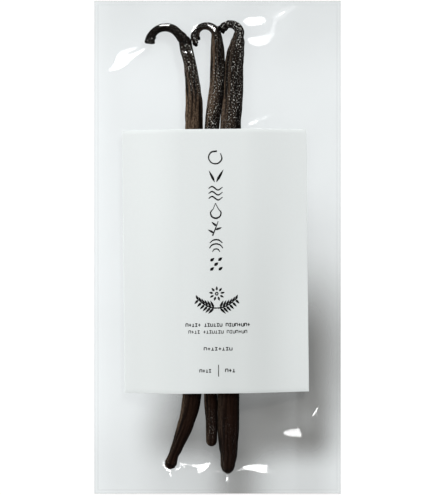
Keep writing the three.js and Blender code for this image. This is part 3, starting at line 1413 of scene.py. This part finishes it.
def make_painted_glints() -> list[PaintedGlint]:
    """The painted highlights on the film, by the hooks, beside the pods and along the lower end."""
    return [
        PaintedGlint(((-43.6, 71.9), (-41.2, 73.2), (-39.0, 75.4), (-36.6, 76.6)), (0.9, 2.8, 4.6, 3.0), 0.4),
        PaintedGlint(((-36.6, 76.6), (-34.0, 77.8), (-30.0, 80.3)), (2.8, 1.5, 0.8), 0.45),
        PaintedGlint(((-39.3, 76.4), (-38.4, 78.5), (-36.2, 80.0), (-33.4, 80.7)), (3.8, 2.9, 1.2, 0.6), 0.3),
        PaintedGlint(
            ((11.2, 91.9), (12.6, 91.6), (14.4, 91.6), (17.0, 92.0), (18.3, 92.1)),
            (1.4, 3.2, 3.7, 3.3, 2.5),
            0.35,
        ),
        PaintedGlint(
            ((13.1, 84.4), (14.4, 83.7), (16.8, 83.6), (19.0, 84.0), (20.8, 85.2)),
            (1.6, 3.3, 3.7, 3.5, 3.0),
            0.35,
        ),
        PaintedGlint(((20.8, 85.2), (22.3, 87.0)), (3.2, 2.0), 0.12),
        PaintedGlint(((22.3, 87.0), (23.0, 90.0), (23.6, 92.8)), (1.8, 1.2, 1.4), 0.08),
        PaintedGlint(((24.1, 93.7), (25.3, 94.5), (26.9, 95.4), (28.0, 96.0)), (2.0, 2.7, 2.3, 1.2), 0.3),
        PaintedGlint(((23.8, 93.4), (26.9, 95.4), (31.4, 97.6)), (3.0, 3.2, 1.2), 0.05),
        PaintedGlint(((12.6, 49.7), (14.2, 50.6), (16.2, 51.4)), (0.4, 1.4, 0.9), 0.3),
        PaintedGlint(((16.2, 51.4), (18.8, 52.2), (21.6, 53.2)), (0.9, 0.7, 0.4), 0.08),
        PaintedGlint(((-22.6, 65.2), (-19.8, 65.8)), (1.0, 0.8), 0.05),
        PaintedGlint(((-15.2, -87.8), (-13.0, -88.0), (-10.9, -88.4)), (0.5, 0.4, 0.5), 0.45),
        PaintedGlint(((-15.2, -87.7), (-13.9, -88.6), (-13.3, -89.6)), (0.5, 0.6, 0.3), 0.7),
        PaintedGlint(((-10.9, -88.4), (-8.6, -88.9), (-6.6, -89.2)), (0.4, 1.0, 1.9), 0.6),
        PaintedGlint(
            ((-7.8, -91.6), (-7.1, -90.3), (-5.8, -89.3), (-4.4, -88.4), (-3.1, -87.7)),
            (0.3, 2.0, 2.6, 1.8, 0.4),
            0.8,
        ),
        PaintedGlint(((7.6, -90.8), (9.6, -90.2), (11.0, -89.8)), (0.3, 0.5, 1.0), 0.4),
        PaintedGlint(((10.2, -89.8), (12.0, -89.4), (14.5, -89.4), (17.6, -89.8)), (0.6, 1.9, 2.6, 3.1), 0.7),
        PaintedGlint(((17.6, -89.8), (18.8, -90.1)), (3.1, 3.0), 0.7),
        PaintedGlint(((19.7, -88.6), (20.1, -91.4)), (0.8, 0.8), 0.7),
        PaintedGlint(((20.3, -90.6), (21.6, -91.2)), (1.8, 1.2), 0.06),
        PaintedGlint(((26.6, -75.3), (27.7, -75.4), (29.4, -75.4), (31.6, -75.3)), (0.1, 1.6, 2.6, 2.9), 0.55),
        PaintedGlint(((32.6, -73.6), (33.8, -76.9)), (0.7, 0.6), 0.55),
        PaintedGlint(((31.6, -75.3), (33.0, -75.9)), (2.9, 2.3), 0.55),
        PaintedGlint(((38.7, -68.5), (39.7, -66.9), (40.7, -65.3)), (0.3, 0.6, 0.3), 0.9),
        PaintedGlint(((40.0, -67.6), (40.6, -68.6)), (0.7, 0.3), 0.2),
        PaintedGlint(((-22.0, -86.6), (-22.0, -87.9), (-21.2, -89.4), (-19.8, -90.6)), (0.2, 0.5, 0.6, 0.8), 0.9),
        PaintedGlint(((-19.4, -91.0), (-18.9, -93.0)), (1.1, 0.4), 0.7),
        PaintedGlint(((-17.0, -90.4), (-15.6, -89.7), (-14.8, -88.4)), (0.5, 0.5, 0.3), 0.6),
        PaintedGlint(((-0.9, -91.1), (1.4, -91.1)), (0.5, 0.5), 0.15),
        PaintedGlint(((4.0, -92.6), (4.0, -93.6), (4.0, -94.8)), (0.4, 0.65, 0.6), 1.0),
        PaintedGlint(((-23.3, 89.9), (-21.6, 90.3), (-19.8, 90.2)), (0.6, 0.8, 0.6), 1.0),
        PaintedGlint(((-4.0, 90.4), (-2.3, 89.5), (-1.0, 88.1)), (0.6, 0.8, 0.9), 1.0),
        PaintedGlint(((-10.4, 87.6), (-9.3, 89.1), (-8.0, 90.3)), (0.7, 0.8, 0.5), 0.9),
        PaintedGlint(((-13.6, 79.4), (-12.6, 79.0), (-12.7, 78.6)), (0.4, 0.6, 0.4), 1.0),
        PaintedGlint(((-11.3, 79.5), (-10.5, 79.4), (-10.9, 78.9)), (0.4, 0.6, 0.4), 1.0),
    ]


# ---- Label and print ------------------------------------------------------------------------


class Motif(Enum):
    """The simple brushed marks of the label's column."""

    RING = "ring"
    PAIR = "pair"
    WAVE = "wave"
    DROP = "drop"
    SPRIG = "sprig"
    ARCS = "arcs"
    SEEDS = "seeds"


@dataclass(frozen=True)
class SignRow:
    """A row of small signs: its Y, its ends, the signs in each group, their height and boldness."""

    y: float
    ends: Point
    groups: tuple[int, ...]
    tall: float
    bold: float


@dataclass
class Card:
    """The paper label and what is printed on it.

    The print is placed from the card's middle, and across the card from the middle of the print.
    """

    label: Label
    thick: float = 0.3
    bevel: float = 0.2
    sharp: float = math.radians(40.0)
    columns: int = 148
    rows: int = 60
    # Painted shade on the card: a band right of its middle that deepens downwards, and one low on its
    # left.
    dim: tuple[Fade, ...] = (
        Fade(0.025, x=(-15.0, 7.0)),
        Fade(0.075, x=(-15.0, 7.0), y=(40.0, -45.0)),
        Fade(0.25, x=(-15.0, 7.0), end=(33.0, 15.0)),
        Fade(0.75, x=(-15.0, 7.0), y=(40.0, -45.0), end=(33.0, 15.0)),
        Fade(0.5, x=(-12.0, -22.0), y=(30.0, -40.0), end=(-40.0, -32.0)),
    )
    ink_rise: float = 0.03
    stroke_steps: int = 6
    leaf_steps: tuple[float, ...] = (0.0, 0.3, 0.65, 1.0)
    leaf_root: float = 0.12
    leaf_taper: float = 0.8
    leaf_tip: float = 0.05
    column_x: float = -0.5
    column_top: float = 41.6
    column_pitch: float = 7.13
    emblem_at: Point = (-0.4, -15.2)
    sign_gap: float = 0.3
    sign_rows: tuple[SignRow, ...] = (
        SignRow(-25.5, (-12.9, 12.7), (5, 6, 8), 1.15, 0.34),
        SignRow(-28.3, (-11.8, 11.5), (4, 7, 7), 1.1, 0.27),
        SignRow(-35.1, (-5.7, 5.5), (8,), 1.05, 0.32),
        SignRow(-43.9, (-7.5, -3.0), (4,), 1.1, 0.34),
        SignRow(-43.8, (2.8, 6.6), (3,), 1.2, 0.36),
    )
    rule_ends: Point = (-46.2, -41.5)
    rule_width: float = 0.3

    def height_at(self, u: float, v: float) -> tuple[float, float, float]:
        """The point of the card's front at a point given from its middle."""
        x, y = self.label.place(u, v)
        return x, y, float(self.label.underside(x, y)) + self.thick

    def build(self) -> bpy.types.Object:
        """The card: a bent sheet with its thickness."""
        bm = bmesh.new()
        bmesh.ops.create_grid(bm, x_segments=self.columns, y_segments=self.rows, size=0.5)
        for vert in bm.verts:
            x, y, z = self.height_at(vert.co.x * self.label.width, vert.co.y * self.label.height)
            vert.co = Vector((x, y, z - self.thick))
        raised = bmesh.ops.extrude_face_region(bm, geom=bm.faces[:])["geom"]
        top = [g for g in raised if isinstance(g, bmesh.types.BMVert)]
        bmesh.ops.translate(bm, vec=(0.0, 0.0, self.thick), verts=top)
        upper = set(top)
        rim = [
            e
            for e in bm.edges
            if set(e.verts) <= upper and any(not set(f.verts) <= upper for f in e.link_faces)
        ]
        bmesh.ops.bevel(
            bm, geom=rim, offset=self.bevel, segments=2, profile=0.5, affect="EDGES", material=-1
        )
        # Painted shade on the card.
        dim = bm.verts.layers.float.new("dim")
        for vert in bm.verts:
            vert[dim] = sum(area.at(vert.co.x, vert.co.y) for area in self.dim)
        bmesh.ops.recalc_face_normals(bm, faces=bm.faces)
        finish = Paper("label_paper_white")
        piece = finish_mesh(bm, "label_card", finish.material(), ["label"])
        piece.data.set_sharp_from_angle(angle=self.sharp)
        return piece

    def stroke(self, bm: bmesh.types.BMesh, path: Sequence[Point], widths: Sequence[float]) -> None:
        """Adds a brushed stroke.

        Args:
            bm: The print's mesh, in the card's own plane.
            path: The points that the stroke passes.
            widths: Its width at each.
        """
        pieces = self.stroke_steps * (len(path) - 1)
        made = bmesh.ops.create_grid(bm, x_segments=pieces, y_segments=1, size=0.5)["verts"]
        line = np.array([self.along(path, i / pieces) for i in range(pieces + 1)])
        ways = np.gradient(line, axis=0)
        ways /= np.linalg.norm(ways, axis=1)[:, None]
        for vert in made:
            i = round((vert.co.x + 0.5) * pieces)
            half = np.interp(i / pieces * (len(path) - 1), range(len(path)), widths) / 2
            side = half if vert.co.y > 0 else -half
            vert.co = Vector((line[i][0] - ways[i][1] * side, line[i][1] + ways[i][0] * side, 0.0))

    @staticmethod
    def along(path: Sequence[Point], share: float) -> Point:
        """A point on a smooth curve through the path.

        Args:
            path: The points that the curve passes.
            share: How far along it the point lies, from 0 to 1.

        Returns:
            The point.
        """
        at = share * (len(path) - 1)
        i = min(int(at), len(path) - 2)
        f = at - i
        p1, p2 = np.array(path[i]), np.array(path[i + 1])
        p0 = np.array(path[i - 1]) if i > 0 else 2 * p1 - p2
        p3 = np.array(path[i + 2]) if i + 2 < len(path) else 2 * p2 - p1
        curve = (
            2 * p1
            + (p2 - p0) * f
            + (2 * p0 - 5 * p1 + 4 * p2 - p3) * f * f
            + (3 * p1 - p0 - 3 * p2 + p3) * f**3
        )
        return tuple(0.5 * curve)

    def arc(
        self, bm: bmesh.types.BMesh, centre: Point, radii: Point, turn: Point, widths: Sequence[float]
    ) -> None:
        """Adds a stroke along an arc.

        Args:
            bm: The print's mesh.
            centre: The arc's middle.
            radii: Its radius over X and over Y.
            turn: The angles at which it starts and ends, in degrees.
            widths: The stroke's width, at even steps.
        """
        path = []
        for i in range(len(widths)):
            angle = math.radians(mix(turn[0], turn[1], i / (len(widths) - 1)))
            path.append((centre[0] + radii[0] * math.cos(angle), centre[1] + radii[1] * math.sin(angle)))
        self.stroke(bm, path, widths)

    def leaf(self, bm: bmesh.types.BMesh, root: Point, way: float, length: float, wide: float) -> None:
        """Adds a leaf.

        Args:
            bm: The print's mesh.
            root: Where it starts.
            way: The angle that it points along, in degrees.
            length: Its length.
            wide: Its greatest width.
        """
        across, along = length * math.cos(math.radians(way)), length * math.sin(math.radians(way))
        path = [(root[0] + across * t, root[1] + along * t) for t in self.leaf_steps]
        self.stroke(bm, path, [self.leaf_root, wide, wide * self.leaf_taper, self.leaf_tip])

    def motif(self, bm: bmesh.types.BMesh, kind: Motif, x: float, y: float) -> None:
        """Adds one mark of the column, about 6 mm across.

        Args:
            bm: The print's mesh.
            kind: The kind of mark.
            x: Its middle across the card.
            y: Its middle along the card.
        """
        if kind is Motif.RING:
            self.arc(bm, (x, y), (2.7, 2.6), (75.0, 400.0), [0.7, 0.6, 0.5, 0.5, 0.6, 0.6, 0.3])
        elif kind is Motif.PAIR:
            self.leaf(bm, (x - 0.3, y - 2.8), 116.0, 5.2, 1.0)
            self.leaf(bm, (x + 0.3, y - 2.8), 60.0, 5.9, 1.1)
        elif kind is Motif.WAVE:
            for dy in (1.8, -0.2, -2.2):
                crests = ((-2.8, 0.0), (-1.3, 0.8), (0.9, -0.6), (2.8, 0.5))
                path = [(x + along, y + dy + rise) for along, rise in crests]
                self.stroke(bm, path, [0.35, 0.6, 0.55, 0.3])
        elif kind is Motif.DROP:
            self.arc(bm, (x, y - 1.0), (2.1, 2.0), (118.0, 422.0), [0.3, 0.5, 0.6, 0.7, 0.6, 0.5, 0.3])
            self.stroke(bm, [(x - 1.0, y + 0.8), (x - 0.1, y + 3.0)], [0.3, 0.25])
            self.stroke(bm, [(x + 1.0, y + 0.8), (x - 0.1, y + 3.0)], [0.35, 0.25])
        elif kind is Motif.SPRIG:
            self.stroke(bm, [(x - 1.4, y - 2.9), (x - 0.2, y), (x + 0.9, y + 2.9)], [0.55, 0.45, 0.3])
            for t, way in ((-1.8, 150.0), (-0.5, 20.0), (0.9, 140.0)):
                self.leaf(bm, (x + 0.42 * t, y + t), way, 2.8, 0.9)
        elif kind is Motif.ARCS:
            self.arc(bm, (x, y - 1.4), (2.8, 2.4), (165.0, 15.0), [0.35, 0.55, 0.6, 0.5, 0.3])
            self.arc(bm, (x, y - 2.6), (1.6, 1.6), (165.0, 15.0), [0.3, 0.5, 0.5, 0.3])
            self.arc(bm, (x, y + 0.4), (2.8, 2.3), (155.0, 25.0), [0.3, 0.55, 0.6, 0.35])
        else:
            for dx, dy in ((-1.6, 1.8), (1.6, 2.0), (0.0, 0.0), (-1.7, -1.9), (1.7, -1.8)):
                self.leaf(bm, (x + dx - 0.8, y + dy - 0.6), 38.0, 2.1, 1.25)

    def signs(self, bm: bmesh.types.BMesh, row: SignRow, middle: float) -> None:
        """Adds a row of small upright signs in groups, in the place of a line of fine print.

        Args:
            bm: The print's mesh.
            row: The row.
            middle: The middle of the print.
        """
        slots = sum(row.groups) + len(row.groups) - 1
        start = middle + row.ends[0]
        pitch = (middle + row.ends[1] - start) / (slots - self.sign_gap)
        wide = pitch * (1.0 - self.sign_gap) / 2
        y, top, low = row.y, row.y + row.tall / 2, row.y - row.tall / 2
        x, turn = start + wide, 0
        for count in row.groups:
            for _ in range(count):
                left, right = x - wide, x + wide
                post_left, post_right = (left, low, left, top), (right, low, right, top)
                post, bar = (x, low, x, top), (left, y, right, y)
                head, foot = (left, top, right, top), (left, low, right, low)
                bars = (
                    (post_left, post_right, head),
                    (post, foot),
                    (post_left, post_right, foot),
                    (post, bar),
                    (head, post, foot),
                )[(turn * 3 + turn // 4) % 5]
                for ax, ay, bx, by in bars:
                    self.stroke(bm, [(ax, ay), (bx, by)], [row.bold, row.bold])
                x += pitch
                turn += 1
            x += pitch

    def ornament(self, bm: bmesh.types.BMesh, x: float, y: float) -> None:
        """Adds the small emblem: two leafy twigs that spread from under a ring of seeds.

        Args:
            bm: The print's mesh.
            x: The emblem's middle across the card.
            y: Its middle along the card.
        """
        for side in (-1.0, 1.0):
            twig = [(x + side * t, y - 3.6 + 0.06 * t * t) for t in (-1.8, 1.5, 5.0, 8.2)]
            self.stroke(bm, twig, [0.35, 0.55, 0.45, 0.25])
            for i in range(6):
                t = 1.2 + 1.25 * i
                root = (x + side * t, y - 3.6 + 0.06 * t * t)
                for way in (-45.0, 65.0):
                    angle = way if side > 0 else 180.0 - way
                    self.leaf(bm, root, angle, 3.3 - 0.22 * i, 1.0)
        for i in range(9):
            angle = 90.0 + 40.0 * i
            turn = math.radians(angle)
            root = (x + 1.5 * math.cos(turn), y + 2.2 + 1.3 * math.sin(turn))
            self.leaf(bm, root, angle, 1.7, 0.9)
        self.arc(bm, (x, y + 2.2), (0.55, 0.55), (0.0, 360.0), [0.45] * 6)

    def build_print(self) -> bpy.types.Object:
        """The print, a skin of ink just above the card."""
        bm = bmesh.new()
        middle = -self.label.centre[0]
        for i, kind in enumerate(Motif):
            self.motif(bm, kind, middle + self.column_x, self.column_top - self.column_pitch * i)
        self.ornament(bm, middle + self.emblem_at[0], self.emblem_at[1])
        for row in self.sign_rows:
            self.signs(bm, row, middle)
        low, high = self.rule_ends
        self.stroke(bm, [(middle, low), (middle, high)], [self.rule_width, self.rule_width])
        for vert in bm.verts:
            x, y, z = self.height_at(vert.co.x, vert.co.y)
            vert.co = Vector((x, y, z + self.ink_rise))
        for face in bm.faces:
            face.normal_update()
            if face.normal.z < 0:
                face.normal_flip()
        return finish_mesh(bm, "label_print", Ink("ink_black").material())


# ---- Studio ---------------------------------------------------------------------------------


@dataclass(frozen=True)
class Softbox:
    """An area light that faces the pack.

    Attributes:
        name: The light's name.
        way: The direction to it from the pack, over X, Y and Z.
        distance: How far off it is, in metres.
        size: Its side, in metres.
        power: Its power, in watts.
    """

    name: str
    way: Triple
    distance: float
    size: float
    power: float

    def build(self) -> bpy.types.Object:
        """Adds the light."""
        lamp = bpy.data.lights.new(self.name, "AREA")
        lamp.shape = "SQUARE"
        lamp.size = self.size
        lamp.energy = self.power
        piece = bpy.data.objects.new(self.name, lamp)
        way = Vector(self.way).normalized()
        piece.location = way * self.distance
        piece.rotation_mode = "QUATERNION"
        piece.rotation_quaternion = (-way).to_track_quat("-Z", "Y")
        bpy.context.scene.collection.objects.link(piece)
        return piece


@dataclass
class Studio:
    """The white floor, the main light, the surroundings and the camera."""

    key_way: Triple = (0.35, 0.65, 0.6)
    key_distance: float = 1.3
    key_size: float = 0.22
    key_power: float = 6.2
    lens: float = 100.0
    sensor: float = 36.0
    frame_height: float = 0.20102
    eye_shift: float = -0.0001
    floor_size: float = 6.0
    floor_drop: float = 0.0001
    floor_white: Triple = (0.25, 0.25, 0.25)
    floor_roughness: float = 0.9
    floor_glow: float = 0.81
    dome: float = 1.2
    zenith: float = 0.03
    opening: Point = (0.70, 0.90)
    lean: Point = (-0.55, 0.3)
    tone: Triple = (1.0, 1.0, 1.0)

    def build(self) -> None:
        """Builds all of it."""
        self.build_floor()
        self.build_world()
        Softbox("key", self.key_way, self.key_distance, self.key_size, self.key_power).build()
        self.build_camera()
        bpy.context.scene.view_settings.view_transform = "Standard"

    def eye(self) -> Vector:
        """Where the camera stands."""
        return Vector((0.0, self.eye_shift, self.frame_height * self.lens / self.sensor))

    def glance(self) -> Glance:
        """The eye and the main light, in millimetres."""
        return Glance(self.eye() / MM, Vector(self.key_way).normalized() * self.key_distance / MM)

    def build_floor(self) -> None:
        """A plain pale floor, just under the pack."""
        bm = bmesh.new()
        bmesh.ops.create_grid(bm, x_segments=1, y_segments=1, size=self.floor_size / 2)
        bmesh.ops.translate(bm, vec=(0.0, 0.0, -self.floor_drop), verts=bm.verts)
        mesh = bpy.data.meshes.new("floor")
        bm.to_mesh(mesh)
        bm.free()
        graph = Graph.material("floor_white")
        shader = graph.principled(
            {
                "Base Color": (*self.floor_white, 1.0),
                "Roughness": self.floor_roughness,
                "Emission Color": (1.0, 1.0, 1.0, 1.0),
                "Emission Strength": self.floor_glow,
            }
        )
        mesh.materials.append(graph.surface(shader))
        floor = bpy.data.objects.new("floor", mesh)
        bpy.context.scene.collection.objects.link(floor)

    def build_world(self) -> None:
        """Pale surroundings at the horizon, dark overhead so that the film stays clear."""
        graph = Graph(bpy.data.worlds.new("studio"))
        way = graph.node("ShaderNodeTexCoord", output="Generated")
        x, y, z = (graph.node("ShaderNodeSeparateXYZ", None, {0: way}, axis) for axis in "XYZ")
        dome = z.ramp(*self.opening, self.dome, self.zenith)
        light = dome * (1.0 + x * self.lean[0] + y * self.lean[1])
        back = graph.node("ShaderNodeBackground", None, {"Color": (*self.tone, 1.0), "Strength": light})
        bpy.context.scene.world = graph.surface(back)

    def build_camera(self) -> None:
        """A long lens straight above the pack."""
        data = bpy.data.cameras.new("camera")
        data.lens = self.lens
        data.sensor_width = self.sensor
        camera = bpy.data.objects.new("camera", data)
        camera.location = self.eye()
        bpy.context.scene.collection.objects.link(camera)
        bpy.context.scene.camera = camera


# ---- Build ----------------------------------------------------------------------------------


def main() -> None:
    """Builds every piece in order."""
    logging.basicConfig(level=logging.INFO, format="%(message)s")
    noise.seed_set(NOISE_SEED)
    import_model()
    label = Label()
    pods = make_pods()
    for pod in pods:
        pod.build()
    studio = Studio()
    pouch = Pouch(label, pods, studio.glance(), make_painted_glints())
    pouch.build_front()
    pouch.build_back()
    card = Card(label)
    card.build()
    card.build_print()
    studio.build()
    bpy.context.view_layer.update()


if __name__ == "__main__":
    main()
